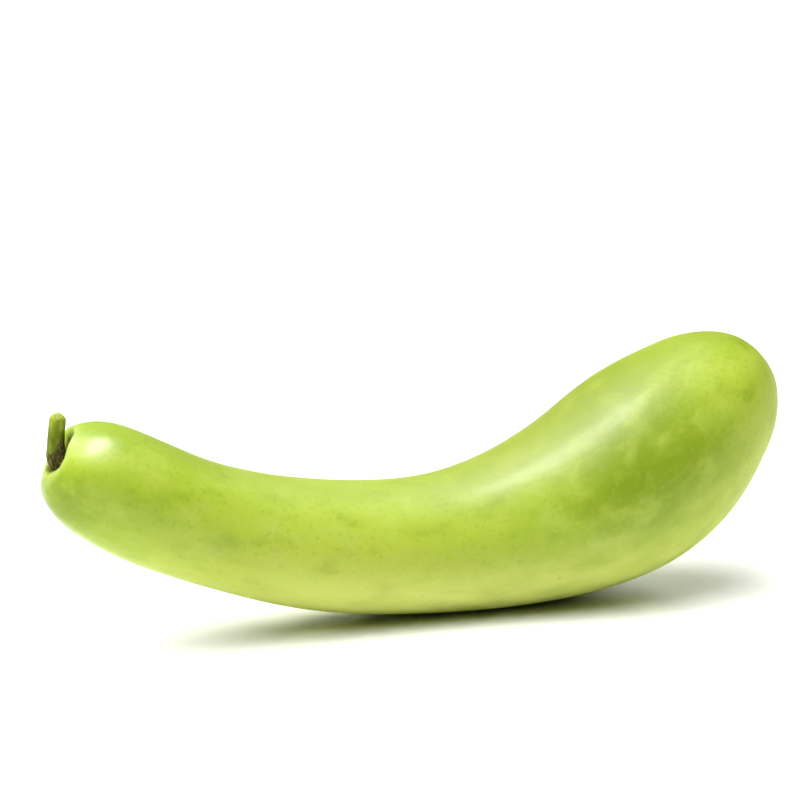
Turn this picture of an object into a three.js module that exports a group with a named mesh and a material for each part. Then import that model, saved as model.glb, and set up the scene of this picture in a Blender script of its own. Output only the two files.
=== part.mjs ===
// Bottle gourd, the long bent kind, as picked: one fruit and the stub of its stalk.
// Millimetres, +Z up. The fruit lies on its rounded belly with both ends up in the air.
// +X runs along the fruit, from the stalk (-X) to the blossom end (+X).
import * as THREE from 'three';

// ---------------------------------------------------------------- driving dimensions (mm)

// Centre line of the fruit, from the stalk end to the blossom end: x, y, z of each control
// point of a clamped cubic B-spline, and the radius of the flesh round it.
const SPINE = [
  [-172.45, 4.65, 90.35, 23.05],
  [-145.50, 2.20, 72.40, 28.10],
  [-117.21, 0.80, 57.33, 26.79],
  [-86.44, 0.20, 46.10, 27.76],
  [-54.36, 0.00, 37.36, 29.83],
  [-21.07, 0.00, 32.85, 30.60],
  [12.65, 0.00, 32.50, 32.70],
  [45.99, 0.00, 37.31, 37.72],
  [78.38, 0.30, 46.67, 44.26],
  [108.08, 1.20, 61.97, 48.31],
  [133.70, 3.00, 83.38, 41.33],
  [164.39, 5.93, 108.11, 23.01],
];

const NECK_CAP = 36.4;       // length over which the stalk end rounds off
const NECK_CAP_P = 3.32;     // how square that rounding is (2 is an ellipse)
const BUTT_CAP = 32.2;       // the same at the blossom end
const BUTT_CAP_P = 2.79;

const BELLY_FLAT = 1.75;     // depth of the flat spot the fruit lies on
const AROUND = 44;           // points round each ring of the fruit
const RINGS = 66;            // rings between the two ends

// Hollow at the stalk end: its centre sits off the end of the centre line
const HOLLOW_UP = 3.43;
const HOLLOW_SIDE = -1.35;
const HOLLOW_LEAN_R = 20;    // rings wider than this don't lean towards the hollow
const LIP_R = 11.6;          // radius of the hollow's lip
// rings from the lip down to the floor: [radius, depth below the lip ring]
const HOLLOW = [[11.0, 0.45], [10.5, 1.3], [10.2, 2.4], [9.8, 3.6], [9.3, 4.6], [8.8, 5.0], [5.0, 5.0],
  [2.0, 5.0]];
const HOLLOW_DEPTH = 5.0;

// Blossom scar: a shallow dent in the other end
const SCAR = [[3.4, 0.25], [2.2, 0.6], [1.1, 0.7]];
const SCAR_DEPTH = 0.7;
const SCAR_R = 4.4;

// Stalk stub: a bent, five-sided, slightly ribbed stem, cut off square with a worn edge
const STEM_GAP = 0.3;        // gap left between the stalk and the floor of the hollow
const STEM_R = 3.6;
const STEM_AROUND = 20;
const STEM_RIB = 0.045;      // height of the ribs, as a part of the radius
// the stalk's centre line, from the hollow's floor: [out along the neck, up and sideways
// across it]
const STEM_LINE = [[0.0, -3.6, 0.0], [1.6, -3.9, 0.0], [3.1, -4.0, 0.0], [4.6, -3.3, 0.0],
  [6.0, -1.3, 0.0], [8.2, 2.3, 0.0], [10.4, 6.7, 0.1], [12.45, 11.0, 0.3]];
// its radius along that line: [part of the length, radius / STEM_R]
const STEM_TAPER = [[0.0, 1.28], [0.08, 1.22], [0.2, 1.14], [0.3, 1.1], [0.42, 1.05],
  [0.6, 1.02], [0.8, 1.01], [0.93, 1.03], [1.0, 0.99]];

const SKIN_COLOUR = '#aacb4e';
const STEM_COLOUR = '#7f9a3c';

// Where the middle of the underside comes out before the whole is moved to the origin
const ORIGIN = [-3.193, 1.109, BELLY_FLAT];

// ---------------------------------------------------------------- helpers

const vec = (x, y, z) => new THREE.Vector3(x, y, z);

// A point on a clamped cubic B-spline, by de Boor's rule. Control points may have any size.
function splinePoint(ctrl, t) {
  const p = 3, n = ctrl.length, spans = n - p;
  const knot = (i) => Math.min(Math.max((i - p) / spans, 0), 1);
  const u = Math.min(Math.max(t, 0), 1);
  const k = Math.min(p + Math.floor(u * spans), n - 1);
  const d = [];
  for (let j = 0; j <= p; j++) d.push(ctrl[k - p + j].slice());
  for (let r = 1; r <= p; r++) {
    for (let j = p; j >= r; j--) {
      const i = k - p + j;
      const a = (u - knot(i)) / (knot(i + p - r + 1) - knot(i));
      for (let c = 0; c < d[j].length; c++) d[j][c] = (1 - a) * d[j - 1][c] + a * d[j][c];
    }
  }
  return d[p];
}

// Linear interpolation in a table of [x, y] rows
function table(rows, x) {
  if (x <= rows[0][0]) return rows[0][1];
  for (let i = 1; i < rows.length; i++) {
    if (x <= rows[i][0]) {
      const f = (x - rows[i - 1][0]) / (rows[i][0] - rows[i - 1][0]);
      return rows[i - 1][1] * (1 - f) + rows[i][1] * f;
    }
  }
  return rows[rows.length - 1][1];
}

// A closed skin over a list of rings with equal counts, with a point at each end
function closedSkin(first, rings, last) {
  const n = rings[0].length;
  const pos = [];
  const push = (v) => pos.push(v.x, v.y, v.z);
  push(first);
  for (const ring of rings) for (const v of ring) push(v);
  push(last);
  const end = 1 + rings.length * n;
  const index = [];
  for (let j = 0; j < n; j++) {
    const k = (j + 1) % n;
    index.push(0, 1 + k, 1 + j);
    for (let i = 0; i < rings.length - 1; i++) {
      const a = 1 + i * n + j, b = 1 + i * n + k, c = a + n, d = b + n;
      index.push(a, b, d, a, d, c);
    }
    const a = 1 + (rings.length - 1) * n + j, b = 1 + (rings.length - 1) * n + k;
    index.push(a, b, end);
  }
  const g = new THREE.BufferGeometry();
  g.setAttribute('position', new THREE.Float32BufferAttribute(pos, 3));
  g.setIndex(index);
  return g;
}

// ---------------------------------------------------------------- the fruit's centre line

const STEPS = 2000;
const line = [];
for (let i = 0; i <= STEPS; i++) {
  const [x, y, z, r] = splinePoint(SPINE, i / STEPS);
  line.push({ p: vec(x, y, z), r });
}
line[0].s = 0;
for (let i = 1; i <= STEPS; i++) line[i].s = line[i - 1].s + line[i].p.distanceTo(line[i - 1].p);
const LENGTH = line[STEPS].s;

// Place, direction and radius at distance s along the centre line
function station(s) {
  let lo = 0, hi = STEPS;
  while (hi - lo > 1) {
    const m = (lo + hi) >> 1;
    if (line[m].s <= s) lo = m; else hi = m;
  }
  const f = (s - line[lo].s) / (line[hi].s - line[lo].s);
  const p = line[lo].p.clone().lerp(line[hi].p, f);
  const a = Math.max(lo - 6, 0), b = Math.min(hi + 6, STEPS);
  const t = line[b].p.clone().sub(line[a].p).normalize();
  const side = vec(0, 1, 0).addScaledVector(t, -t.y).normalize();
  const up = new THREE.Vector3().crossVectors(t, side).normalize();
  return { p, t, side, up, r: line[lo].r * (1 - f) + line[hi].r * f };
}

// How far the ends round the fruit off, from 0 at the very end to 1 along the middle
function rounding(s) {
  const a = Math.min(Math.max(1 - s / NECK_CAP, 0), 1);
  const b = Math.min(Math.max(1 - (LENGTH - s) / BUTT_CAP, 0), 1);
  return Math.pow(1 - Math.pow(a, NECK_CAP_P), 1 / NECK_CAP_P)
    * Math.pow(1 - Math.pow(b, BUTT_CAP_P), 1 / BUTT_CAP_P);
}

// The distance from one end at which the rounded end has the given radius
function whereRadius(radius, fromButt) {
  let lo = 0, hi = fromButt ? BUTT_CAP * 0.8 : NECK_CAP * 0.8;
  for (let i = 0; i < 50; i++) {
    const m = (lo + hi) / 2, s = fromButt ? LENGTH - m : m;
    if (station(s).r * rounding(s) < radius) lo = m; else hi = m;
  }
  return (lo + hi) / 2;
}

const lipS = whereRadius(LIP_R, false);

// How much a ring of the given radius near the stalk end belongs to the hollow: 1 at the lip
// and inside it, 0 on the neck
function hollowShare(radius, s) {
  if (s > LENGTH / 2) return 0;
  const k = Math.min(Math.max((HOLLOW_LEAN_R - radius) / (HOLLOW_LEAN_R - LIP_R), 0), 1);
  return k * k;
}

function ringCentre(s, radius) {
  const q = station(s), k = hollowShare(radius, s);
  return q.p.clone().addScaledVector(q.up, HOLLOW_UP * k).addScaledVector(q.side, HOLLOW_SIDE * k);
}

// One ring of the fruit. Where it dips into the flat spot, the nearest point each side is
// slid to the edge of the spot, so that the spot's rim is a clean curve.
function ring(s, radius) {
  const q = station(s), c = ringCentre(s, radius), pts = [];
  const at = (angle) => c.clone().addScaledVector(q.up, radius * Math.cos(angle))
    .addScaledVector(q.side, radius * Math.sin(angle));
  const step = 2 * Math.PI / AROUND;
  const angles = [];
  for (let j = 0; j < AROUND; j++) angles.push(j * step);
  const low = at(Math.PI);
  if (low.z < BELLY_FLAT) {
    for (const dir of [1, -1]) {
      let a = 0, b = Math.PI / 2;
      for (let i = 0; i < 40; i++) {
        const m = (a + b) / 2;
        if (at(Math.PI + dir * m).z < BELLY_FLAT) a = m; else b = m;
      }
      const slot = Math.max(1, Math.round(a / step));
      angles[AROUND / 2 + dir * slot] = Math.PI + dir * (a - 1e-4);
    }
  }
  for (const angle of angles) {
    const v = at(angle);
    if (v.z < BELLY_FLAT) v.z = BELLY_FLAT;
    pts.push(v);
  }
  return pts;
}

// ---------------------------------------------------------------- the fruit

const rings = [];

// from the middle of the hollow's floor out to the lip
for (let i = HOLLOW.length - 1; i >= 0; i--) rings.push(ring(lipS + HOLLOW[i][1], HOLLOW[i][0]));
rings.push(ring(lipS, LIP_R));
// the rounded shoulder of the stalk end, by radius, then the long body, by distance
for (const r of [13.0, 14.8, 17.0, 19.4, 21.6]) {
  const s = whereRadius(r, false);
  rings.push(ring(s, r));
}
const bodyFrom = whereRadius(21.6, false), bodyTo = LENGTH - whereRadius(29.0, true);
for (let i = 1; i < RINGS; i++) {
  const s = bodyFrom + (bodyTo - bodyFrom) * i / RINGS;
  rings.push(ring(s, station(s).r * rounding(s)));
}
for (const r of [29.0, 26.0, 22.5, 18.8, 15.0, 11.2, 7.6, SCAR_R]) {
  const s = LENGTH - whereRadius(r, true);
  rings.push(ring(s, r));
}
const scarS = LENGTH - whereRadius(SCAR_R, true);
for (const [r, d] of SCAR) rings.push(ring(scarS - d, r));

const floor = station(lipS + HOLLOW_DEPTH);
const floorCentre = ringCentre(lipS + HOLLOW_DEPTH, 0);
const fruitShape = closedSkin(station(scarS - SCAR_DEPTH).p, rings.reverse(), floorCentre);

// ---------------------------------------------------------------- the stalk stub

const out = floor.t.clone().negate();                 // out of the hollow, along the neck
const stemPath = new THREE.CatmullRomCurve3(STEM_LINE.map(([a, u, w]) =>
  floorCentre.clone().addScaledVector(out, a + STEM_GAP).addScaledVector(floor.up, u)
    .addScaledVector(floor.side, w)), false, 'centripetal');

const STEM_RINGS = 22;
const stemRings = [];
let stemSide = floor.side.clone();
for (let i = 0; i <= STEM_RINGS; i++) {
  const f = i / STEM_RINGS;
  const p = stemPath.getPointAt(f);
  const t = i === 0 ? out.clone() : stemPath.getTangentAt(f);
  stemSide = stemSide.clone().addScaledVector(t, -stemSide.dot(t)).normalize();
  const other = new THREE.Vector3().crossVectors(t, stemSide);
  const radius = STEM_R * table(STEM_TAPER, f);
  const pts = [];
  for (let j = 0; j < STEM_AROUND; j++) {
    const a = 2 * Math.PI * j / STEM_AROUND;
    const r = radius * (1 + STEM_RIB * Math.cos(5 * a));
    pts.push(p.clone().addScaledVector(stemSide, r * Math.cos(a)).addScaledVector(other, r * Math.sin(a)));
  }
  stemRings.push(pts);
}
// the cut: a worn bevel, then the face of the cut
const tip = stemPath.getPointAt(1), tipT = stemPath.getTangentAt(1);
for (const [k, h] of [[0.92, 0.8], [0.72, 1.6], [0.42, 2.35]]) {
  stemRings.push(stemRings[STEM_RINGS].map((v) => tip.clone().lerp(v, k).addScaledVector(tipT, h)));
}
const stemShape = closedSkin(stemPath.getPointAt(0), stemRings, tip.clone().addScaledVector(tipT, 2.7));

// ---------------------------------------------------------------- assembly

const group = new THREE.Group();

function add(name, geometry, colour, roughness) {
  geometry.translate(-ORIGIN[0], -ORIGIN[1], -ORIGIN[2]);
  geometry.computeVertexNormals();
  const mesh = new THREE.Mesh(geometry,
    new THREE.MeshStandardMaterial({ color: colour, roughness, metalness: 0.0 }));
  mesh.name = name;
  group.add(mesh);
}

add('gourd_body', fruitShape, SKIN_COLOUR, 0.42);
add('stem', stemShape, STEM_COLOUR, 0.6);

export default group;
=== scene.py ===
import math

import bpy
import numpy as np
from mathutils import Matrix, Vector


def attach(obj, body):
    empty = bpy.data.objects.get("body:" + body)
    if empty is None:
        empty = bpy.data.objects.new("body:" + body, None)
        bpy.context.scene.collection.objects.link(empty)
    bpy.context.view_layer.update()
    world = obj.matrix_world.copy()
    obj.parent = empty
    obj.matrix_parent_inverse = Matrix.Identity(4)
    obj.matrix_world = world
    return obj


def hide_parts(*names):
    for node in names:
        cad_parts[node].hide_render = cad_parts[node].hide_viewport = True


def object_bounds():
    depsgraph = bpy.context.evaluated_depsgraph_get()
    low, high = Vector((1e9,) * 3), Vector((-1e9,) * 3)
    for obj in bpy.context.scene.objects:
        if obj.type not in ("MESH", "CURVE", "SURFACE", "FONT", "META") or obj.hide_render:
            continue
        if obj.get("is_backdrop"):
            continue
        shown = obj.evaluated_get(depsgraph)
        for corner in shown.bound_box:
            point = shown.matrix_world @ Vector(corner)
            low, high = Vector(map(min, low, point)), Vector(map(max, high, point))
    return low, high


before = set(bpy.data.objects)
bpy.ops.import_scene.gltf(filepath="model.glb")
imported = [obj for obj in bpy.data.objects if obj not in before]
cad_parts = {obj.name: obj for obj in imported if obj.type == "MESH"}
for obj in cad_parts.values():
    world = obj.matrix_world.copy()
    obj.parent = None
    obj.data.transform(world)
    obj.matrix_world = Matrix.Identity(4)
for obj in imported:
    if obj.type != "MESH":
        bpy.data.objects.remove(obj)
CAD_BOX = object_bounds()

MM = 0.001

# ------------------------------------------------------------------ the fruit's sizes (mm)
# The same centre line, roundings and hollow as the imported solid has.
SPINE = np.array([
    [-172.45, 4.65, 90.35, 23.05],
    [-145.50, 2.20, 72.40, 28.10],
    [-117.21, 0.80, 57.33, 26.79],
    [-86.44, 0.20, 46.10, 27.76],
    [-54.36, 0.00, 37.36, 29.83],
    [-21.07, 0.00, 32.85, 30.60],
    [12.65, 0.00, 32.50, 32.70],
    [45.99, 0.00, 37.31, 37.72],
    [78.38, 0.30, 46.67, 44.26],
    [108.08, 1.20, 61.97, 48.31],
    [133.70, 3.00, 83.38, 41.33],
    [164.39, 5.93, 108.11, 23.01],
])
NECK_CAP, NECK_CAP_P = 36.4, 3.32
BUTT_CAP, BUTT_CAP_P = 32.2, 2.79
BELLY_FLAT = 1.75
HOLLOW_UP, HOLLOW_SIDE = 3.43, -1.35
HOLLOW_LEAN_R, LIP_R = 20.0, 11.6
HOLLOW_DEPTH = 5.0
ORIGIN = np.array([-3.193, 1.109, BELLY_FLAT])

STEM_R = 3.6
# the stalk's centre line: out of the hollow's floor, up (towards the top of the rim), across
STEM_LINE = np.array([
    [-0.1, -3.6, 0.0], [1.6, -4.2, 0.0], [3.1, -4.2, 0.0], [4.6, -3.4, 0.0], [6.0, -1.3, 0.0], [8.2, 2.3, 0.0],
    [10.4, 6.7, 0.1], [12.45, 11.0, 0.3]])

# ------------------------------------------------------------------ small helpers


def unit(v):
    return v / np.maximum(np.linalg.norm(v, axis=-1, keepdims=True), 1e-12)


def smooth(a, b, x):
    t = np.clip((x - a) / (b - a), 0, 1)
    return t * t * (3 - 2 * t)


def bspline(ctrl, t):
    p, n = 3, len(ctrl)
    spans = n - p
    knot = lambda i: np.clip((i - p) / spans, 0, 1)
    u = np.clip(np.asarray(t, float), 0, 1)
    k = np.minimum(p + np.floor(u * spans).astype(int), n - 1)
    d = [ctrl[k - p + j].copy() for j in range(p + 1)]
    for r in range(1, p + 1):
        for j in range(p, r - 1, -1):
            i = k - p + j
            a = ((u - knot(i)) / (knot(i + p - r + 1) - knot(i)))[:, None]
            d[j] = (1 - a) * d[j - 1] + a * d[j]
    return d[p]


def catmull(points, n):
    """n points at even spacing along a centripetal Catmull-Rom curve through points."""
    P = np.asarray(points, float)
    P = np.vstack([2 * P[0] - P[1], P, 2 * P[-1] - P[-2]])
    out = []
    for i in range(1, len(P) - 2):
        p0, p1, p2, p3 = P[i - 1:i + 3]
        t0 = 0.0
        t1 = t0 + max(np.linalg.norm(p1 - p0), 1e-9) ** 0.5
        t2 = t1 + max(np.linalg.norm(p2 - p1), 1e-9) ** 0.5
        t3 = t2 + max(np.linalg.norm(p3 - p2), 1e-9) ** 0.5
        t = np.linspace(t1, t2, 60, endpoint=False)[:, None]
        a1 = (t1 - t) / (t1 - t0) * p0 + (t - t0) / (t1 - t0) * p1
        a2 = (t2 - t) / (t2 - t1) * p1 + (t - t1) / (t2 - t1) * p2
        a3 = (t3 - t) / (t3 - t2) * p2 + (t - t2) / (t3 - t2) * p3
        b1 = (t2 - t) / (t2 - t0) * a1 + (t - t0) / (t2 - t0) * a2
        b2 = (t3 - t) / (t3 - t1) * a2 + (t - t1) / (t3 - t1) * a3
        out.append((t2 - t) / (t2 - t1) * b1 + (t - t1) / (t2 - t1) * b2)
    out = np.vstack(out + [P[-2][None]])
    s = np.concatenate([[0], np.cumsum(np.linalg.norm(np.diff(out, axis=0), axis=1))])
    q = np.linspace(0, s[-1], n)
    return np.stack([np.interp(q, s, out[:, c]) for c in range(out.shape[1])], -1)


# A seeded lattice noise, evaluated on arrays of points, between about -1 and 1
_rng = np.random.default_rng(20417)
_perm = _rng.permutation(256)
_perm = np.concatenate([_perm, _perm, _perm])
_grad = unit(_rng.normal(size=(256, 3)))


def noise(p, seed=0):
    p = np.asarray(p, float) + seed * 17.37
    i = np.floor(p).astype(int)
    f = p - i
    w = f * f * f * (f * (f * 6 - 15) + 10)
    i &= 255
    total = 0.0
    for dx in (0, 1):
        for dy in (0, 1):
            for dz in (0, 1):
                h = _perm[_perm[_perm[(i[..., 0] + dx) & 255] + ((i[..., 1] + dy) & 255)]
                          + ((i[..., 2] + dz) & 255)]
                g = _grad[h]
                d = f - np.array([dx, dy, dz])
                k = ((w[..., 0] if dx else 1 - w[..., 0]) * (w[..., 1] if dy else 1 - w[..., 1])
                     * (w[..., 2] if dz else 1 - w[..., 2]))
                total = total + k * (g * d).sum(-1)
    return total * 1.6


def fbm(p, octaves=3, seed=0, gain=0.5):
    v, a, s = 0.0, 1.0, 0.0
    for o in range(octaves):
        v = v + a * noise(np.asarray(p) * 2 ** o, seed + o * 3)
        s += a
        a *= gain
    return v / s


# ------------------------------------------------------------------ the fruit's centre line
_pts = bspline(SPINE, np.linspace(0, 1, 4001))
_s = np.concatenate([[0], np.cumsum(np.linalg.norm(np.diff(_pts[:, :3], axis=0), axis=1))])
LENGTH = _s[-1]
_tan = unit(np.gradient(_pts[:, :3], axis=0))
_side = unit(np.array([0, 1.0, 0]) - _tan[:, 1:2] * _tan)
_up = unit(np.cross(_tan, _side))


def along(s, what):
    s = np.asarray(s, float)
    cols = {"p": _pts[:, :3], "t": _tan, "side": _side, "up": _up, "r": _pts[:, 3:4]}[what]
    # past the ends the line goes straight on
    out = np.stack([np.interp(s, _s, cols[:, c]) for c in range(cols.shape[1])], -1)
    return out if what == "p" or what == "r" else unit(out)


def rounding(s):
    a = np.clip(1 - s / NECK_CAP, 0, 1)
    b = np.clip(1 - (LENGTH - s) / BUTT_CAP, 0, 1)
    return (np.clip(1 - a ** NECK_CAP_P, 0, 1) ** (1 / NECK_CAP_P)
            * np.clip(1 - b ** BUTT_CAP_P, 0, 1) ** (1 / BUTT_CAP_P))


def where_radius(radius, butt):
    radius = np.asarray(radius, float)
    lo = np.zeros_like(radius)
    hi = np.full_like(radius, (BUTT_CAP if butt else NECK_CAP) * 0.8)
    for _ in range(50):
        m = (lo + hi) / 2
        s = LENGTH - m if butt else m
        small = along(s, "r")[..., 0] * rounding(s) < radius
        lo = np.where(small, m, lo)
        hi = np.where(small, hi, m)
    return (lo + hi) / 2


LIP_S = float(where_radius(np.array(LIP_R), False))

# ------------------------------------------------------------------ the fruit
# Its profile as rings [distance along the centre line, radius], from the middle of the
# hollow's floor, over the lip, along the body and into the scar at the other end.
AROUND = 208
hollow = catmull([
    [LIP_S + 5.05, 0.02], [LIP_S + 5.05, 2.0], [LIP_S + 5.0, 4.6], [LIP_S + 4.75, 6.6],
    [LIP_S + 4.1, 8.0], [LIP_S + 3.1, 9.0], [LIP_S + 1.95, 9.8], [LIP_S + 0.95, 10.6],
    [LIP_S + 0.15, 11.6], [float(where_radius(np.array(12.8), False)) - 0.03, 12.8]], 62)
shoulder_r = np.linspace(13.0, 22.4, 34)
shoulder = np.stack([where_radius(shoulder_r, False), shoulder_r], -1)
s0 = shoulder[-1, 0]
s1 = LENGTH - float(where_radius(np.array(29.0), True))
body_s = np.linspace(s0, s1, 262)[1:]
body = np.stack([body_s, along(body_s, "r")[:, 0] * rounding(body_s)], -1)
butt_r = np.linspace(28.4, 4.6, 58)
butt = np.stack([LENGTH - where_radius(butt_r, True), butt_r], -1)
e = butt[-1, 0]
scar = catmull([[e, 4.6], [e + 0.15, 4.1], [e - 0.05, 3.5], [e - 0.55, 2.9], [e - 0.7, 2.1],
                [e - 0.45, 1.2], [e - 0.3, 0.6], [e - 0.3, 0.02]], 24)[1:]
profile = np.vstack([hollow, shoulder, body, butt, scar])
n_hollow = len(hollow)
kind = np.concatenate([np.full(len(hollow), 0), np.full(len(shoulder), 1), np.full(len(body), 2),
                       np.full(len(butt), 3), np.full(len(scar), 4)])

rs, rr = profile[:, 0], profile[:, 1]
neckish = np.arange(len(rs)) < len(hollow) + len(shoulder)
share = np.clip((HOLLOW_LEAN_R - rr) / (HOLLOW_LEAN_R - LIP_R), 0, 1) ** 2 * neckish
centre = (along(rs, "p") + along(rs, "up") * (HOLLOW_UP * share)[:, None]
          + along(rs, "side") * (HOLLOW_SIDE * share)[:, None])
ang = np.linspace(0, 2 * math.pi, AROUND, endpoint=False)
ca, sa = np.cos(ang), np.sin(ang)
radial = (along(rs, "up")[:, None] * ca[None, :, None]
          + along(rs, "side")[:, None] * sa[None, :, None])
base = centre[:, None] + rr[:, None, None] * radial

# Straightened coordinates: the place each point would have on an unbent fruit
flow = np.stack([np.broadcast_to(rs[:, None], base.shape[:2]),
                 rr[:, None] * ca[None], rr[:, None] * sa[None]], -1)

# Outward direction of the plain shape, for the swellings
ds = np.gradient(base, axis=0)
da = np.roll(base, -1, 1) - np.roll(base, 1, 1)
nrm = unit(np.cross(da, ds))
if (nrm[200] * radial[200]).sum() < 0:
    nrm = -nrm

# Swellings and dents. All are small: the fruit is smooth, but not turned on a lathe.
hollow_w = np.where(kind == 0, 1.0, np.where(kind == 1, 1 - smooth(12.7, 19.0, rr), 0.0))[:, None]
inner = smooth(3.5, 9.0, rr)[:, None]
soft = np.clip(rr / 12.0, 0, 1)[:, None]
d = 0.34 * noise(flow / np.array([62.0, 34.0, 34.0]), 1) * soft
calm = (0.35 + 0.65 * smooth(70, 150, rs))[:, None]     # the neck is the smoothest part
d += 0.11 * noise(flow / np.array([26.0, 13.0, 13.0]), 2) * soft * calm
d += 0.032 * fbm(flow / np.array([9.0, 5.5, 5.5]), 2, 3) * soft * calm
# broad shallow ribs that fade away from the stalk
rib = np.cos(5 * ang + 0.6)[None] * 0.17 + np.cos(9 * ang - 0.9)[None] * 0.12
d += rib * np.exp(-((rs[:, None] - 14) / 24.0) ** 2) * smooth(12, 19, rr)[:, None] * (kind != 4)[:, None] * (rs < 90)[:, None]
# puckers over the lip of the hollow
puck = (np.cos(11 * ang + 1.3) * 0.6 + np.cos(17 * ang - 0.4) * 0.4)[None]
lip_w = np.exp(-((rr - 11.3) / 2.2) ** 2)[:, None] * neckish[:, None]
d += 0.13 * puck * lip_w + 0.20 * noise(flow / 5.0, 5) * lip_w
# the blossom end draws in slightly round its scar
butt_w = (kind == 3)[:, None] * np.exp(-((rr - 7.5) / 4.0) ** 2)[:, None]
d += 0.10 * (np.cos(7 * ang + 0.2) * 0.6 + np.cos(10 * ang + 2.0) * 0.4)[None] * butt_w
d += (kind == 4)[:, None] * 0.16 * noise(flow / 1.1, 7)
# inside the hollow the surface is rougher
d += (kind == 0)[:, None] * smooth(10.8, 8.5, rr)[:, None] * 0.16 * fbm(flow / 1.7, 3, 9)
verts = base + nrm * d[..., None]
turn = lambda a0: (ang - math.radians(a0) + math.pi) % (2 * math.pi) - math.pi
# on its upper side the hollow is narrower, with a flat soft lip inside the rim
dish = catmull([[2.0, 5.05], [3.6, 4.6], [4.6, 3.9], [5.6, 2.95], [6.6, 1.95], [7.4, 1.25], [8.2, 0.72],
                [9.0, 0.40], [9.8, 0.22], [10.6, 0.15], [11.6, 0.15], [12.8, 0.24], [14.0, 0.4]], 400)
shift = np.where(neckish & (rr < 12.8) & (rr > 2.0), np.interp(rr, dish[:, 0], dish[:, 1]) - (rs - LIP_S), 0.0)
shift = shift * smooth(12.8, 11.4, rr) * smooth(2.0, 4.0, rr)
shift = shift[:, None] * np.exp(-(turn(22) / 0.95) ** 2)[None]
# and the rim stands a little prouder on the near upper side
proud = np.where(neckish, np.exp(-((rr - 11.4) / 2.2) ** 2), 0.0)[:, None] * (0.75 * np.exp(-(turn(302) / 0.55) ** 2))[None]
verts = verts + along(rs, "t")[:, None] * (shift - proud)[..., None]
rim_w = np.where(neckish, np.exp(-((rr - 11.6) / 2.6) ** 2), 0.0)[:, None]
dip = 1.25 * np.exp(-(turn(243) / 0.62) ** 2)
verts = verts + along(rs, "t")[:, None] * (rim_w * dip[None])[..., None]
# the lip is rounded over broadly there
kern = np.exp(-(np.arange(-18, 19) / 8.0) ** 2 / 2)
kern /= kern.sum()
padded = np.concatenate([np.repeat(verts[:1], 18, 0), verts, np.repeat(verts[-1:], 18, 0)])
blurred = sum(w * padded[k:k + len(verts)] for k, w in enumerate(kern))
soft_w = np.where(neckish, smooth(4.8, 8.0, rr) * smooth(18.5, 15.0, rr), 0.0)[:, None] \
    * np.exp(-(turn(352) / 0.78) ** 4)[None]
verts = verts + (blurred - verts) * soft_w[..., None]

# the flat spot it lies on, with a soft edge
z = verts[..., 2] - BELLY_FLAT
k = 0.22
verts[..., 2] = BELLY_FLAT + np.where(
    z > 4 * k, z, k * np.log1p(np.exp(np.clip(z / k, -40, 40))) - 0.0)
low = verts[..., 2].min()
verts[..., 2] -= (low - BELLY_FLAT) * smooth(6.0, 0.0, verts[..., 2] - BELLY_FLAT)
verts = (verts - ORIGIN) * MM


def skin(rings, first=None, last=None):
    """Vertices and faces of a closed skin over rings, each end closed at a point."""
    n, m = rings.shape[:2]
    V = rings.reshape(-1, 3)
    i, j = np.meshgrid(np.arange(n - 1), np.arange(m), indexing="ij")
    j2 = (j + 1) % m
    quads = np.stack([i * m + j, i * m + j2, (i + 1) * m + j2, (i + 1) * m + j], -1).reshape(-1, 4)
    a = len(V)
    first = rings[0].mean(0) if first is None else first
    last = rings[-1].mean(0) if last is None else last
    V = np.vstack([V, first[None], last[None]])
    jj = np.arange(m)
    j3 = (jj + 1) % m
    t0 = np.stack([np.full(m, a), j3, jj], -1)
    t1 = np.stack([(n - 1) * m + jj, (n - 1) * m + j3, np.full(m, a + 1)], -1)
    return V, quads, np.vstack([t0, t1])


def make_object(name, V, quads, tris, flip=False):
    me = bpy.data.meshes.new(name)
    if flip:
        quads, tris = quads[:, ::-1], tris[:, ::-1]
    faces = [tuple(int(x) for x in f) for f in quads] + [tuple(int(x) for x in f) for f in tris]
    me.from_pydata([tuple(v) for v in V], [], faces)
    me.update()
    me.polygons.foreach_set("use_smooth", np.ones(len(me.polygons), dtype=bool))
    ob = bpy.data.objects.new(name, me)
    bpy.context.scene.collection.objects.link(ob)
    return ob


def signed_volume(V, quads, tris):
    T = np.vstack([quads[:, :3], quads[:, [0, 2, 3]], tris])
    a, b, c = V[T[:, 0]], V[T[:, 1]], V[T[:, 2]]
    return (a * np.cross(b, c)).sum() / 6


def put(ob, name, values, vector=False):
    at = ob.data.attributes.new(name, "FLOAT_VECTOR" if vector else "FLOAT", "POINT")
    at.data.foreach_set("vector" if vector else "value", np.ascontiguousarray(values, dtype=np.float32).ravel())


V, Q, T = skin(verts)
body_ob = make_object("gourd_skin", V, Q, T, flip=signed_volume(V, Q, T) < 0)


def with_ends(a):
    a = np.asarray(a, float)
    a = np.broadcast_to(a, base.shape[:2]) if a.ndim == 2 else a
    flat = a.reshape(-1, 3) if a.ndim == 3 else a.reshape(-1)
    return np.concatenate([flat, a[0].mean(0)[None], a[-1].mean(0)[None]]) if a.ndim == 3 \
        else np.concatenate([flat, [a[0].mean(), a[-1].mean()]])


put(body_ob, "flow", with_ends(flow * MM), True)
low_side = smooth(-0.75, 0.70, np.cos(ang - math.radians(212)))
hollow_mask = (kind == 0)[:, None] * smooth(11.0, 8.2, rr[:, None] - 1.9 * low_side[None] + 3.6 * (1 - low_side[None]))
put(body_ob, "hollow", with_ends(hollow_mask))
lip_mask = (neckish * smooth(17.5, 13.0, rr))[:, None] * np.ones((1, AROUND))
put(body_ob, "lip", with_ends(lip_mask))
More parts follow.
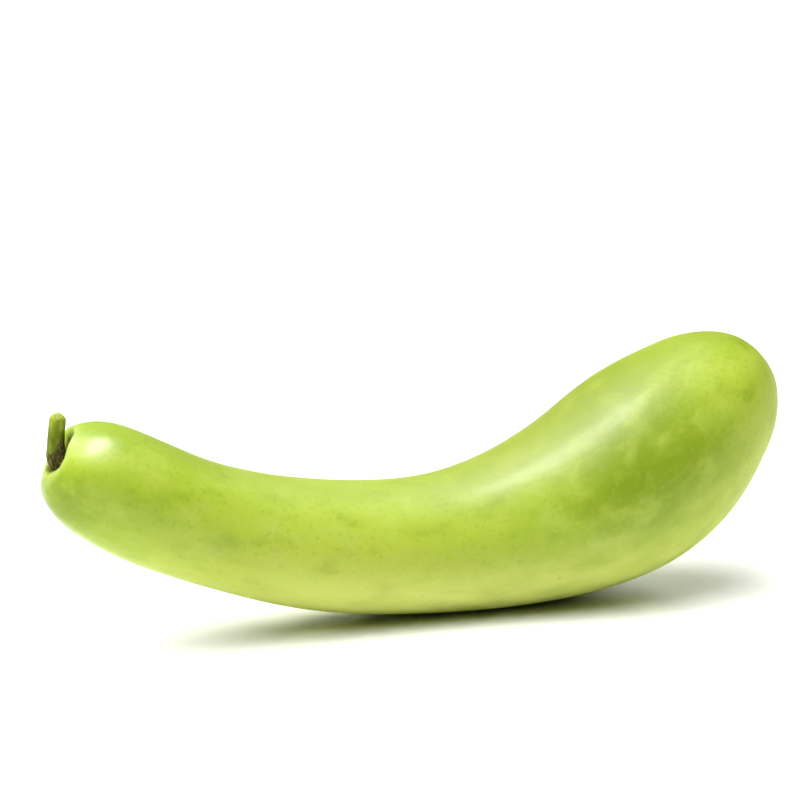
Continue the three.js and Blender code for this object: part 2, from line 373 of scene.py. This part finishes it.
# the wall of the hollow is duller than the skin outside, and painted dark at the bottom: painted shade in the recess
wall_and_painted_shade = (kind == 0)[:, None] * smooth(12.2, 5.2, rr)[:, None] * np.ones((1, AROUND))
put(body_ob, "wall_and_painted_shade", with_ends(wall_and_painted_shade))
scar_mask = np.where(kind == 4, 1.0, np.where(kind == 3, np.exp(-((rr - 4.6) / 1.5) ** 2), 0))[:, None] * np.ones((1, AROUND))
put(body_ob, "scar", with_ends(scar_mask))
# the side that lay in the shade while it grew is paler; this paleness is also painted light, standing in for light
# thrown up from the bright floor
pale_underside_and_bounce = smooth(0.25, -0.75, radial[..., 2]) * (0.55 + 0.60 * np.exp(-((rs[:, None] - 175) / 72.0) ** 2)
                                              - 0.15 * np.exp(-((rs[:, None] - 320) / 45.0) ** 2)
                                              - 0.28 * np.exp(-((rs[:, None] - 85) / 34.0) ** 2)
                                              - 0.70 * smooth(80, 10, rs[:, None]))
pale_underside_and_bounce = np.clip(pale_underside_and_bounce, 0, 1)
put(body_ob, "pale_underside_and_bounce", with_ends(pale_underside_and_bounce))
# along its length the fruit is a little paler in the middle and deeper green on the bulge's top: partly its own
# colour, partly painted light in the middle and painted shade on the bulge
paler_middle_and_painted_light = np.exp(-((rs - 132) / 80.0) ** 2)[:, None] * (1.45 - 0.62 * smooth(0.15, 0.75, radial[..., 2]))
# deeper green on the front of the bulge: partly its own colour, partly painted shade
deep = (smooth(225, 285, rs) * (1 - 1.0 * smooth(300, 350, rs)))[:, None] * smooth(-0.45, 0.35, radial[..., 2])
# the underside of the stalk end painted deeper green: painted shade
deep = deep + smooth(38, 6, rs)[:, None] * smooth(0.15, -0.45, radial[..., 2]) * (kind != 0)[:, None]
# paler still on the lower sides near the blossom end: painted light
paler_middle_and_painted_light = paler_middle_and_painted_light + (0.80 * np.exp(-((rs - 350) / 42.0) ** 2))[:, None] * (1 - smooth(0.3, 0.8, radial[..., 2]))
# a deeper band across the bulge: partly its own colour, partly a painted shadow
deep = deep + np.exp(-((rs - 262) / 36.0) ** 2)[:, None] * 0.45 * np.exp(-((radial[..., 2] - 0.36) / 0.20) ** 2)
# deeper and duller on the bulge's top: partly its own colour, partly painted shade
put(body_ob, "bulge_top_green_and_shade", with_ends(smooth(0.35, 0.85, radial[..., 2]) * smooth(150, 235, rs)[:, None]))
# the very top, painted darker and greyer: painted shade
put(body_ob, "painted_shade_top", with_ends(smooth(0.64, 0.98, radial[..., 2]) * (kind != 0)[:, None]))
put(body_ob, "paler_middle_and_painted_light", with_ends(paler_middle_and_painted_light))
put(body_ob, "deep", with_ends(deep))
body_ob_faces = len(Q) * 2 + len(T)

# ------------------------------------------------------------------ the stalk
fs = LIP_S + HOLLOW_DEPTH
floor_c = (along(fs, "p") + along(fs, "up") * HOLLOW_UP + along(fs, "side") * HOLLOW_SIDE)
out_dir = -along(fs, "t")
stem_pts = (floor_c + out_dir * STEM_LINE[:, 0:1] + along(fs, "up") * STEM_LINE[:, 1:2]
            + along(fs, "side") * STEM_LINE[:, 2:3])
SN, SA = 190, 120
path = catmull(stem_pts, SN)
tl = unit(np.gradient(path, axis=0))
tl[0] = out_dir
side = along(fs, "side").copy()
sides = []
for i in range(SN):
    side = unit(side - (side @ tl[i]) * tl[i])
    sides.append(side)
sides = np.array(sides)
others = np.cross(tl, sides)
f = np.linspace(0, 1, SN)
taper = np.interp(f, [0.0, 0.05, 0.11, 0.20, 0.30, 0.42, 0.6, 0.8, 0.93, 1.0],
                  [1.50, 1.38, 1.30, 1.22, 1.14, 1.06, 1.02, 1.01, 1.03, 0.99])
taper = np.convolve(np.pad(taper, 6, mode="edge"), np.ones(13) / 13, "valid")
sang = np.linspace(0, 2 * math.pi, SA, endpoint=False)
sc, ss = np.cos(sang), np.sin(sang)
# five rounded ribs, with finer lines between them
five = np.cos(5 * sang + 0.4)
rib_shape = 0.036 * np.sign(five) * np.abs(five) ** 0.9 + 0.008 * np.cos(15 * sang + 1.0)
sr = STEM_R * taper[:, None] * (1 + rib_shape[None] * smooth(0.05, 0.3, f)[:, None])
sflow = np.stack([np.broadcast_to((f * 22.0)[:, None], sr.shape), 3.6 * sc[None] * np.ones((SN, 1)),
                  3.6 * ss[None] * np.ones((SN, 1))], -1)
sdir = sides[:, None] * sc[None, :, None] + others[:, None] * ss[None, :, None]
# where the corky foot shows: low down, and further up on the side that faces -Y and +X; on the +X side, which faces
# the fruit, its reach and darkness are partly painted shade
face = sdir @ unit(np.array([0.95, -0.33, 0.0]))
reach = 0.27 + 0.34 * smooth(-0.9, 1.0, face) ** 1.3
cork = smooth(0.24, -0.20, f[:, None] - reach + 0.07 * noise(sflow / 1.6, 21) + 0.05 * noise(sflow / 0.8, 22))
cork = np.clip(cork, 0, 1)
sr = sr + 0.05 * fbm(sflow / np.array([3.0, 1.2, 1.2]), 2, 23)
sr = sr + cork * (0.16 + 0.30 * fbm(sflow / 1.15, 3, 25))
srings = path[:, None] + sdir * sr[..., None]
# the cut: a worn shoulder, then a slightly hollow face that slopes a little
cut_t = tl[-1]
rim = srings[-1]
tipc = path[-1]
cut = []
for kk, h in ((0.99, 0.22), (0.965, 0.48), (0.92, 0.80), (0.86, 1.10), (0.78, 1.42), (0.68, 1.74), (0.57, 2.04),
              (0.45, 2.30), (0.33, 2.50), (0.21, 2.63), (0.10, 2.70), (0.03, 2.72)):
    ringk = tipc + (rim - tipc) * kk + cut_t * h
    ridge = np.exp(-((rim - tipc) * kk @ unit(np.array([1.0, 0.4, 0.0])) / 1.5) ** 2)
    ringk = ringk + cut_t * (0.34 * ridge * smooth(0.99, 0.5, kk))[:, None]
    ringk = ringk + cut_t * (0.09 * smooth(1.0, 0.7, kk) * noise((rim * kk) / 1.6, 31))[:, None]
    cut.append(ringk)
cut = np.array(cut)
all_rings = np.concatenate([srings, cut])
cutmask = np.concatenate([np.zeros(SN), smooth(-1.0, 6.0, np.arange(len(cut)))])
cutmask[SN - 8:SN] = np.linspace(0, cutmask[SN], 8)
V, Q, T = skin((all_rings - ORIGIN) * MM)
stem_ob = make_object("stalk", V, Q, T, flip=signed_volume(V, Q, T) < 0)
NS = len(all_rings)


def s_ends(a):
    flat = a.reshape(-1, 3) if a.ndim == 3 else a.reshape(-1)
    return np.concatenate([flat, a[0].mean(0)[None], a[-1].mean(0)[None]]) if a.ndim == 3 \
        else np.concatenate([flat, [a[0].mean(), a[-1].mean()]])


sflow_all = np.concatenate([sflow, np.stack([
    np.full((len(cut), SA), 22.5), 3.6 * sc[None] * np.linspace(1, 0, len(cut))[:, None],
    3.6 * ss[None] * np.linspace(1, 0, len(cut))[:, None]], -1)])
put(stem_ob, "flow", s_ends(sflow_all * MM), True)
cork_all = np.concatenate([cork, np.zeros((len(cut), SA))])
put(stem_ob, "cork", s_ends(cork_all))
put(stem_ob, "cutface", s_ends(cutmask[:, None] * np.ones((1, SA))))
f_all = np.concatenate([f, np.ones(len(cut))])
put(stem_ob, "height", s_ends(f_all[:, None] * np.ones((1, SA))))
# darker in the grooves between the ribs: painted shade
groove_shade = np.concatenate([np.broadcast_to(smooth(0.3, -0.9, five)[None], (SN, SA)), np.zeros((len(cut), SA))])
put(stem_ob, "groove_shade", s_ends(groove_shade))

# ------------------------------------------------------------------ materials


class Tree:
    """A short way to write a node tree."""

    def __init__(self, name):
        self.m = bpy.data.materials.new(name)
        self.m.use_nodes = True
        self.t = self.m.node_tree
        self.t.nodes.clear()
        self.out = self.t.nodes.new("ShaderNodeOutputMaterial")
        self.bsdf = self.t.nodes.new("ShaderNodeBsdfPrincipled")
        self.t.links.new(self.bsdf.outputs[0], self.out.inputs[0])

    def link(self, a, b):
        self.t.links.new(a, b)

    def attr(self, name, vector=False):
        n = self.t.nodes.new("ShaderNodeAttribute")
        n.attribute_name = name
        return n.outputs["Vector"] if vector else n.outputs["Fac"]

    def math(self, op, a, b=None, c=None, clamp=False):
        n = self.t.nodes.new("ShaderNodeMath")
        n.operation = op
        n.use_clamp = clamp
        for i, v in enumerate((a, b, c)):
            if v is None:
                continue
            if isinstance(v, (int, float)):
                n.inputs[i].default_value = v
            else:
                self.link(v, n.inputs[i])
        return n.outputs[0]

    def scale(self, vec, xyz):
        n = self.t.nodes.new("ShaderNodeVectorMath")
        n.operation = "MULTIPLY"
        self.link(vec, n.inputs[0])
        n.inputs[1].default_value = xyz
        return n.outputs[0]

    def add_vec(self, a, b):
        n = self.t.nodes.new("ShaderNodeVectorMath")
        n.operation = "ADD"
        self.link(a, n.inputs[0])
        if isinstance(b, (tuple, list)):
            n.inputs[1].default_value = b
        else:
            self.link(b, n.inputs[1])
        return n.outputs[0]

    def noise(self, vec, scale, detail=2.0, rough=0.5, colour=False):
        n = self.t.nodes.new("ShaderNodeTexNoise")
        n.noise_dimensions = "3D"
        self.link(vec, n.inputs["Vector"])
        n.inputs["Scale"].default_value = scale
        n.inputs["Detail"].default_value = detail
        n.inputs["Roughness"].default_value = rough
        return n.outputs["Color" if colour else "Fac"]

    def voronoi(self, vec, scale, rand=1.0, colour=False):
        n = self.t.nodes.new("ShaderNodeTexVoronoi")
        n.feature = "F1"
        self.link(vec, n.inputs["Vector"])
        n.inputs["Scale"].default_value = scale
        n.inputs["Randomness"].default_value = rand
        return n.outputs["Distance"], n.outputs["Color"]

    def ramp(self, fac, stops, interp="LINEAR"):
        n = self.t.nodes.new("ShaderNodeValToRGB")
        n.color_ramp.interpolation = interp
        els = n.color_ramp.elements
        while len(els) > len(stops):
            els.remove(els[-1])
        while len(els) < len(stops):
            els.new(0.5)
        for el, (pos, col) in zip(els, stops):
            el.position = pos
            el.color = (*col, 1.0) if len(col) == 3 else col
        self.link(fac, n.inputs[0])
        return n.outputs[0]

    def remap(self, v, a, b, c=0.0, d=1.0, smoothstep=True):
        n = self.t.nodes.new("ShaderNodeMapRange")
        n.interpolation_type = "SMOOTHSTEP" if smoothstep else "LINEAR"
        n.clamp = True
        self.link(v, n.inputs["Value"])
        n.inputs["From Min"].default_value = a
        n.inputs["From Max"].default_value = b
        n.inputs["To Min"].default_value = c
        n.inputs["To Max"].default_value = d
        return n.outputs["Result"]

    def mix(self, fac, a, b, mode="MIX"):
        n = self.t.nodes.new("ShaderNodeMix")
        n.data_type = "RGBA"
        n.blend_type = mode
        n.clamp_factor = True
        if isinstance(fac, (int, float)):
            n.inputs[0].default_value = fac
        else:
            self.link(fac, n.inputs[0])
        for v, i in ((a, 6), (b, 7)):
            if isinstance(v, tuple):
                n.inputs[i].default_value = (*v, 1.0)
            else:
                self.link(v, n.inputs[i])
        return n.outputs[2]

    def bump(self, height, strength, distance, normal=None):
        n = self.t.nodes.new("ShaderNodeBump")
        n.inputs["Strength"].default_value = strength
        n.inputs["Distance"].default_value = distance
        self.link(height, n.inputs["Height"])
        if normal is not None:
            self.link(normal, n.inputs["Normal"])
        return n.outputs[0]


# --- the skin: waxy lime green, softly mottled
t = Tree("gourd_skin")
flow_v = t.attr("flow", True)
t_sep = t.t.nodes.new("ShaderNodeSeparateXYZ")
t.link(flow_v, t_sep.inputs[0])
t.flow_s = t_sep.outputs[0]
streak_v = t.scale(flow_v, (0.30, 1.0, 1.0))
wide = t.noise(streak_v, 26.0, 2.0, 0.45)             # patches of 4 to 8 cm
mid = t.noise(t.scale(flow_v, (0.6, 1.0, 1.0)), 95.0, 3.0, 0.5)    # mottling of about 1 cm
fine = t.noise(flow_v, 420.0, 2.0, 0.5)              # fine mottling of 2 to 3 mm
lines = t.noise(t.scale(flow_v, (0.06, 1.0, 1.0)), 330.0, 2.0, 0.5)  # faint lines lengthwise

green = t.ramp(wide, [(0.32, (0.213, 0.319, 0.0150)), (0.50, (0.245, 0.348, 0.0190)),
                      (0.68, (0.282, 0.379, 0.0270))])
# paler middle: partly its own colour, partly painted light
green = t.mix(t.math("MULTIPLY", t.attr("paler_middle_and_painted_light"), 0.56), green, (0.416, 0.493, 0.0480))
# deeper green on the bulge and under the stalk end: partly its own colour, partly painted shade
green = t.mix(t.math("MULTIPLY", t.attr("deep"), 0.74), green, (0.145, 0.221, 0.0020))
cloud = t.noise(t.add_vec(t.scale(flow_v, (0.8, 1.0, 1.0)), (1.3, 0.4, 2.1)), 72.0, 2.5, 0.55)   # pale clouds of 1 to 2 cm
col = t.mix(t.math("MULTIPLY", t.remap(cloud, 0.47, 0.74, 0.0, 0.60), t.remap(t.attr("deep"), 0.1, 0.9, 1.0, 0.55)),
            green, (0.373, 0.459, 0.0700))
col = t.mix(t.remap(mid, 0.48, 0.76, 0.0, 0.55), col, (0.349, 0.439, 0.0520))
col = t.mix(t.remap(mid, 0.50, 0.22, 0.0, 0.50), col, (0.166, 0.265, 0.0070))
col = t.mix(t.remap(fine, 0.50, 0.80, 0.0, 0.18), col, (0.368, 0.454, 0.0560))
col = t.mix(t.remap(fine, 0.50, 0.20, 0.0, 0.34), col, (0.162, 0.257, 0.0070))
col = t.mix(t.remap(lines, 0.54, 0.74, 0.0, 0.12), col, (0.326, 0.415, 0.0420))
# the very top is a little deeper and greyer: painted shade; the bulge's top deeper still, partly its own colour and
# partly painted shade
col = t.mix(t.math("MULTIPLY", t.attr("painted_shade_top"), 0.55), col, (0.200, 0.252, 0.0500))
col = t.mix(t.math("MULTIPLY", t.attr("bulge_top_green_and_shade"), 0.40), col, (0.150, 0.172, 0.0120))
# the underside is paler and yellower: partly its own colour, partly painted bounce light from the floor below
pale_and_bounce_f = t.math("MULTIPLY", t.attr("pale_underside_and_bounce"), t.remap(mid, 0.2, 0.7, 0.68, 1.0))
col = t.mix(pale_and_bounce_f, col, (0.612, 0.668, 0.1560))
# pores: sparse tiny dark dots, thicker in a few patches
pd, pc = t.voronoi(flow_v, 330.0)
pick = t.math("GREATER_THAN", t.math("FRACT", t.math("MULTIPLY", pc, 7.31)), 0.62)
patch = t.remap(t.noise(flow_v, 38.0, 2.0, 0.6), 0.50, 0.68, 0.09, 1.0)
pore = t.math("MULTIPLY", t.math("MULTIPLY", t.remap(pd, 0.26, 0.06), pick), patch)
pore = t.math("MULTIPLY", pore, t.remap(t.flow_s, 0.08, 0.26, 0.12, 1.0))      # fewer on the neck
col = t.mix(t.math("MULTIPLY", pore, 0.55), col, (0.130, 0.190, 0.020))
# brown inside the hollow, darkened as painted shade in the recess, with pale flecks, and on the scar
hm = t.attr("hollow")
hn = t.noise(flow_v, 900.0, 4.0, 0.6)
hollow_brown_and_shade = t.ramp(hn, [(0.35, (0.030, 0.024, 0.004)), (0.54, (0.078, 0.066, 0.009)),
                         (0.68, (0.190, 0.165, 0.032))])
col = t.mix(t.math("MULTIPLY", t.attr("lip"), 0.32), col, (0.390, 0.425, 0.1300))
col = t.mix(t.remap(t.attr("wall_and_painted_shade"), 0.02, 0.30, 0.0, 0.85), col, (0.290, 0.385, 0.006))
# brown tissue in the hollow, darkened as painted shade
col = t.mix(t.math("MULTIPLY", hm, 0.90), col, hollow_brown_and_shade)
# the bottom of the hollow painted near-black: painted shade in the recess
col = t.mix(t.remap(t.attr("wall_and_painted_shade"), 0.60, 1.0, 0.0, 0.84), col, (0.062, 0.064, 0.002))
sm = t.attr("scar")
scar_n = t.noise(flow_v, 1500.0, 3.0, 0.6)
scar_col = t.ramp(scar_n, [(0.3, (0.080, 0.055, 0.020)), (0.55, (0.230, 0.180, 0.070)),
                           (0.75, (0.420, 0.370, 0.190))])
col = t.mix(t.remap(t.math("ADD", sm, t.math("MULTIPLY", t.math("SUBTRACT", scar_n, 0.5), 1.3)), 0.25, 0.95),
            col, scar_col)
t.link(col, t.bsdf.inputs["Base Color"])
neck_f = t.remap(t.flow_s, 0.035, 0.12)
rough = t.math("ADD", t.math("MULTIPLY", neck_f, 0.13), t.remap(mid, 0.25, 0.75, 0.36, 0.41))
rough = t.math("ADD", rough, t.math("MULTIPLY", t.attr("pale_underside_and_bounce"), 0.26))
rough = t.math("ADD", rough, t.math("MULTIPLY", t.attr("lip"), 0.22))
rough = t.math("ADD", rough, t.math("MULTIPLY", t.attr("wall_and_painted_shade"), 0.35))
rough = t.math("ADD", rough, t.math("MULTIPLY", hm, 0.3), clamp=True)
t.link(rough, t.bsdf.inputs["Roughness"])
t.bsdf.inputs["IOR"].default_value = 1.45
t.bsdf.inputs["Subsurface Weight"].default_value = 0.12
t.bsdf.inputs["Subsurface Radius"].default_value = (0.5, 1.0, 0.18)
t.bsdf.inputs["Subsurface Scale"].default_value = 0.004
t.bsdf.inputs["Specular IOR Level"].default_value = 0.23
t.bsdf.inputs["Coat Weight"].default_value = 0.05
t.bsdf.inputs["Coat Roughness"].default_value = 0.20
h = t.math("ADD", t.math("MULTIPLY", fine, 0.6), t.math("MULTIPLY", pore, -0.5))
b1 = t.bump(h, 0.06, 0.0004)
b2 = t.bump(t.noise(flow_v, 1600.0, 2.0, 0.5), 0.03, 0.0002, b1)
t.link(b2, t.bsdf.inputs["Normal"])
skin_mat = t.m

# --- the stalk: olive, ribbed, corky and dark at its foot, pale where it was cut; painted light on its upper end, painted shade in its grooves and on the foot's side towards the fruit
t = Tree("stalk")
fv = t.attr("flow", True)
n1 = t.noise(t.scale(fv, (0.25, 1.0, 1.0)), 700.0, 3.0, 0.55)
n2 = t.noise(fv, 1500.0, 4.0, 0.6)
hgt = t.attr("height")
olive = t.ramp(n1, [(0.30, (0.072, 0.100, 0.003)), (0.50, (0.112, 0.146, 0.005)), (0.70, (0.180, 0.212, 0.018))])
upper_end_and_painted_light = t.ramp(n1, [(0.30, (0.155, 0.200, 0.009)), (0.55, (0.235, 0.285, 0.022)), (0.72, (0.350, 0.395, 0.060))])
# the upper end lighter: partly its own colour, partly painted light
col = t.mix(t.remap(hgt, 0.62, 0.98), olive, upper_end_and_painted_light)
# darker in the grooves between the ribs: painted shade
col = t.mix(t.math("MULTIPLY", t.attr("groove_shade"), 0.45), col, (0.080, 0.120, 0.014))
cd, cc = t.voronoi(fv, 1500.0)
# brown cork, its darkest tones partly painted shade
cork_brown_and_shade = t.ramp(t.noise(t.scale(fv, (0.5, 1.0, 1.0)), 1500.0, 5.0, 0.65), [(0.36, (0.022, 0.017, 0.002)), (0.50, (0.062, 0.054, 0.008)),
                                                   (0.61, (0.150, 0.135, 0.038)), (0.74, (0.330, 0.300, 0.130))])
cork_m = t.attr("cork")
cork_f = t.remap(t.math("ADD", cork_m, t.math("MULTIPLY", t.math("SUBTRACT", n2, 0.5), 1.0)), 0.26, 0.74)
col = t.mix(cork_f, col, cork_brown_and_shade)
cut_col = t.ramp(t.noise(fv, 900.0, 4.0, 0.6), [(0.34, (0.150, 0.180, 0.012)), (0.50, (0.250, 0.295, 0.025)),
                      (0.63, (0.370, 0.410, 0.080)), (0.78, (0.480, 0.510, 0.170))])
col = t.mix(t.attr("cutface"), col, cut_col)
t.link(col, t.bsdf.inputs["Base Color"])
t.link(t.math("ADD", t.math("MULTIPLY", cork_f, 0.30), 0.50), t.bsdf.inputs["Roughness"])
t.bsdf.inputs["Specular IOR Level"].default_value = 0.08
t.bsdf.inputs["IOR"].default_value = 1.45
t.bsdf.inputs["Subsurface Weight"].default_value = 0.05
t.bsdf.inputs["Subsurface Radius"].default_value = (0.5, 1.0, 0.2)
t.bsdf.inputs["Subsurface Scale"].default_value = 0.0015
b1 = t.bump(t.noise(t.scale(fv, (0.15, 1.0, 1.0)), 2200.0, 3.0, 0.6), 0.35, 0.00025)
b2 = t.bump(t.math("MULTIPLY", t.noise(fv, 2600.0, 4.0, 0.65), cork_f), 0.8, 0.0006, b1)
t.link(b2, t.bsdf.inputs["Normal"])
stem_mat = t.m

body_ob.data.materials.append(skin_mat)
stem_ob.data.materials.append(stem_mat)
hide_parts("gourd_body")
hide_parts("stem")
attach(body_ob, "root")
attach(stem_ob, "root")

# ------------------------------------------------------------------ floor, light, camera
bpy.ops.mesh.primitive_plane_add(size=16.0, location=(0, 0, -0.0002))
floor = bpy.context.object
floor.name = "floor"
t = Tree("floor_white")
t.bsdf.inputs["Base Color"].default_value = (0.86, 0.86, 0.855, 1)
t.bsdf.inputs["Roughness"].default_value = 0.12
t.bsdf.inputs["IOR"].default_value = 1.55
# further off than the object's shadow the floor is plain matt
f_geo, f_len = t.t.nodes.new("ShaderNodeNewGeometry"), t.t.nodes.new("ShaderNodeVectorMath")
f_len.operation = "LENGTH"
t.link(f_geo.outputs["Position"], f_len.inputs[0])
f_mat, f_mix = t.t.nodes.new("ShaderNodeBsdfDiffuse"), t.t.nodes.new("ShaderNodeMixShader")
f_mat.inputs["Color"].default_value = (0.86, 0.86, 0.855, 1)
t.link(t.remap(f_len.outputs["Value"], 0.30, 0.80), f_mix.inputs[0])
t.link(t.bsdf.outputs[0], f_mix.inputs[1])
t.link(f_mat.outputs[0], f_mix.inputs[2])
t.link(f_mix.outputs[0], t.out.inputs[0])
floor.data.materials.append(t.m)
floor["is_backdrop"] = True

world = bpy.data.worlds.new("studio")
bpy.context.scene.world = world
world.use_nodes = True
wt = world.node_tree
wt.nodes.clear()


def wnode(kind):
    return wt.nodes.new(kind)


# a dim room with a pale backdrop that is bright near the horizon
w_out, w_bg, w_co, w_sep = (wnode("ShaderNodeOutputWorld"), wnode("ShaderNodeBackground"),
                            wnode("ShaderNodeTexCoord"), wnode("ShaderNodeSeparateXYZ"))
w_map, w_path, w_max = wnode("ShaderNodeMapRange"), wnode("ShaderNodeLightPath"), wnode("ShaderNodeMath")
w_map.interpolation_type = "SMOOTHSTEP"
for key, val in (("From Min", 0.10), ("From Max", 0.42), ("To Min", 0.32), ("To Max", 0.0)):
    w_map.inputs[key].default_value = val
w_max.operation = "MAXIMUM"
w_bg.inputs[0].default_value = (1, 1, 1, 1)
wt.links.new(w_co.outputs["Generated"], w_sep.inputs[0])
w_dot, w_side, w_mul, w_add = (wnode("ShaderNodeVectorMath"), wnode("ShaderNodeMapRange"),
                               wnode("ShaderNodeMath"), wnode("ShaderNodeMath"))
w_dot.operation = "DOT_PRODUCT"
w_dot.inputs[1].default_value = (0.326, 0.946, 0.0)
w_side.interpolation_type = "SMOOTHSTEP"
w_side.inputs["From Min"].default_value = -0.1
w_side.inputs["From Max"].default_value = 0.6
w_mul.operation = "MULTIPLY"
w_add.operation = "ADD"
w_add.inputs[1].default_value = 0.01
wt.links.new(w_co.outputs["Generated"], w_dot.inputs[0])
wt.links.new(w_dot.outputs["Value"], w_side.inputs["Value"])
wt.links.new(w_sep.outputs[2], w_map.inputs["Value"])
wt.links.new(w_map.outputs["Result"], w_mul.inputs[0])
wt.links.new(w_side.outputs["Result"], w_mul.inputs[1])
wt.links.new(w_mul.outputs[0], w_add.inputs[0])
wt.links.new(w_add.outputs[0], w_max.inputs[0])
wt.links.new(w_path.outputs["Is Camera Ray"], w_max.inputs[1])
wt.links.new(w_max.outputs[0], w_bg.inputs[1])
wt.links.new(w_bg.outputs[0], w_out.inputs[0])

CAM_AZ = -19.0          # the camera's side, in degrees from -Y towards -X


def towards(el, az):
    """Direction to a light at height el, az degrees to the right of the camera's side."""
    a, e = math.radians(CAM_AZ + az), math.radians(el)
    return Vector((math.sin(a) * math.cos(e), -math.cos(a) * math.cos(e), math.sin(e)))


def soft_sun(name, el, az, spread, strength, sheen=True):
    L = bpy.data.lights.new(name, "SUN")
    L.energy = strength
    L.angle = math.radians(spread)
    ob = bpy.data.objects.new(name, L)
    bpy.context.scene.collection.objects.link(ob)
    ob.rotation_euler = towards(el, az).to_track_quat("Z", "Y").to_euler()
    ob.visible_glossy = sheen
    return ob


def softbox(name, loc, target, size, deep, power):
    L = bpy.data.lights.new(name, "AREA")
    L.shape = "ELLIPSE"
    L.size = size
    L.size_y = deep
    L.energy = power
    ob = bpy.data.objects.new(name, L)
    bpy.context.scene.collection.objects.link(ob)
    ob.location = loc
    ob.rotation_euler = (Vector(loc) - Vector(target)).to_track_quat("Z", "Y").to_euler()
    return ob


soft_sun("overhead", 75, -98, 78, 2.75)
soft_sun("ceiling", 65, -88, 74, 4.60, sheen=False)
# a soft light on the floor alone, from behind, reaches under the raised bulge
sweep = soft_sun("floor_light", 24, 156, 44, 3.5, sheen=False)
lit = bpy.data.collections.new("lit_by_floor_light")
lit.objects.link(floor)
sweep.light_linking.receiver_collection = lit
softbox("near_box", (-0.124, -0.055, 0.585), (-0.06, -0.03, 0.0), 0.20, 0.42, 1.35)
softbox("gloss_box", (-0.138, -0.055, 0.590), (-0.06, -0.03, 0.0), 0.18, 0.34, 8.6).visible_diffuse = False

# Camera: 15 degrees above the table, turned 19 degrees towards the stalk end
AZ, EL, DIST, PX = math.radians(-19), math.radians(15), 1300.0, 0.46
fpx = DIST / PX
back = np.array([math.sin(AZ) * math.cos(EL), -math.cos(AZ) * math.cos(EL), math.sin(EL)])
right = np.array([math.cos(AZ), math.sin(AZ), 0.0])
upv = np.cross(back, right)
eye = (-(430 - 400) * PX * right + (611.5 - 400) * PX * upv + DIST * back - ORIGIN) * MM
cam = bpy.data.cameras.new("camera")
cam.sensor_width = 36.0
cam.lens = fpx * 36.0 / 800.0
cam.clip_end = 60.0
cam_ob = bpy.data.objects.new("camera", cam)
bpy.context.scene.collection.objects.link(cam_ob)
R = Matrix((right, upv, back)).transposed().to_4x4()
cam_ob.matrix_world = Matrix.Translation(Vector(eye)) @ R
bpy.context.scene.camera = cam_ob

scene = bpy.context.scene
scene.view_settings.view_transform = "Standard"
scene.view_settings.look = "None"
scene.view_settings.exposure = 0.0
scene.view_settings.gamma = 1.0

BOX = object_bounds()


def plain(b):
    try:
        return [[float(x) for x in corner] for corner in b]
    except TypeError:
        return [float(x) for x in b]


{"cad": plain(CAD_BOX), "visual": plain(BOX)}
